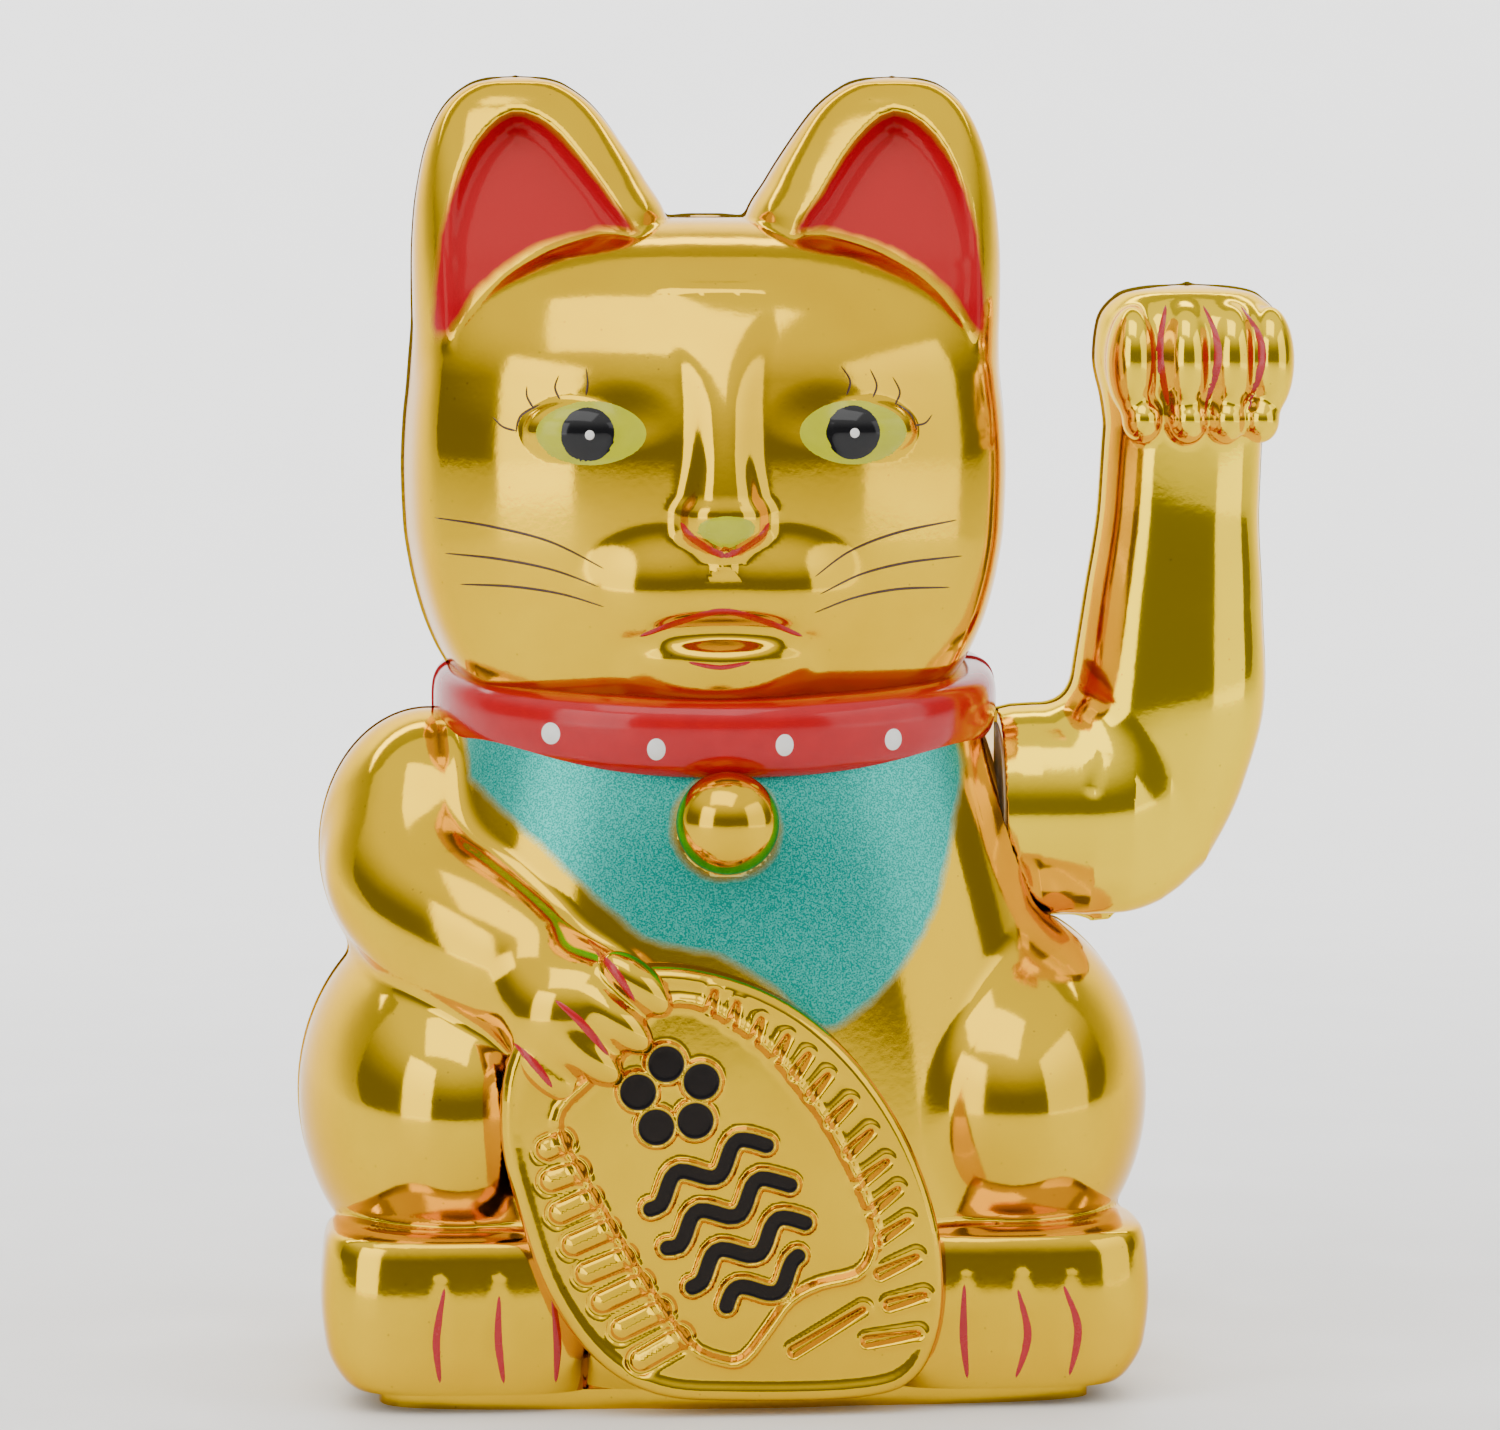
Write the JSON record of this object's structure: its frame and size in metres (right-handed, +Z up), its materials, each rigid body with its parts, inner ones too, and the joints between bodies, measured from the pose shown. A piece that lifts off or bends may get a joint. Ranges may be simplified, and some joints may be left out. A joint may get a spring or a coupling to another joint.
{
  "type": "beckoning cat figurine",
  "caption": "Seated gold beckoning cat figurine holding an oval coin, with a raised arm that swings on an internal pendulum driven by a battery coil.",
  "frame": {"origin": "centre of the underside of the base, on the rest plane", "axes": "+Z up through the head, the cat faces -Y, the raised arm is on +X"},
  "size_m": [0.154, 0.1089, 0.2],
  "materials": {
    "gold_front": "plated gold colour on moulded plastic, with painted eyes, collar, bib and claws",
    "gold_rear": "plated gold colour on moulded plastic",
    "gold_arm": "plated gold colour on moulded plastic, with painted claws",
    "gold_base": "plated gold colour on moulded plastic, satin",
    "white_plastic": "moulded, unpainted",
    "black_plastic": "moulded, fine texture",
    "steel": "drawn rod",
    "spring_steel": "blued spring steel",
    "zinc_screws": "bright zinc",
    "brass": "turned",
    "magnet": "nickel plated",
    "cast_weight": "blackened",
    "cell_case": "shrink sleeve over a steel can, no print",
    "contact_metal": "nickel-plated spring wire and strip",
    "copper_wire": "enamelled winding wire",
    "board": "single-sided board",
    "capacitor_can": "sleeve",
    "component_black": "moulded case",
    "resistor_body": "lacquered",
    "switch_metal": "stamped can",
    "red_insulation": "wire insulation",
    "black_insulation": "wire insulation"
  },
  "bodies": {
    "housing": {"front_shell": "gold_front", "rear_shell": "gold_rear", "axle_bushes": "brass", "axle_bracket": "black_plastic", "bracket_screws": "zinc_screws", "base_plate": "gold_base", "battery": "cell_case", "positive_contact": "contact_metal", "negative_contact": "contact_metal", "coil_bobbin": "black_plastic", "coil_winding": "copper_wire", "circuit_board": "board", "board_screws": "zinc_screws", "capacitor": "capacitor_can", "transistor": "component_black", "resistors": "resistor_body", "switch_body": "switch_metal", "lead_red": "red_insulation", "lead_black": "black_insulation", "base_screws": "zinc_screws"},
    "waving_arm": {"arm_front_half": "gold_arm", "arm_rear_half": "gold_arm", "arm_hub": "white_plastic", "axle": "steel", "axle_clips": "spring_steel", "pendulum_lever": "white_plastic", "pendulum_magnet": "magnet", "counterweight": "cast_weight"},
    "battery_door": {"battery_door": "gold_base"},
    "switch_slider": {"switch_slider": "black_plastic"}
  },
  "joints": [
    {"name": "arm_swing", "type": "hinge", "parent": "housing", "child": "waving_arm", "pos_m": [0, 0, 0.086], "axis": [1, 0, 0], "range_deg": [-18, 18]},
    {"name": "door_slide", "type": "slide", "parent": "housing", "child": "battery_door", "axis": [0, 1, 0], "range_m": [0, 0.008]},
    {"name": "power_slide", "type": "slide", "parent": "housing", "child": "switch_slider", "axis": [1, 0, 0], "range_m": [0, 0.003]}
  ]
}
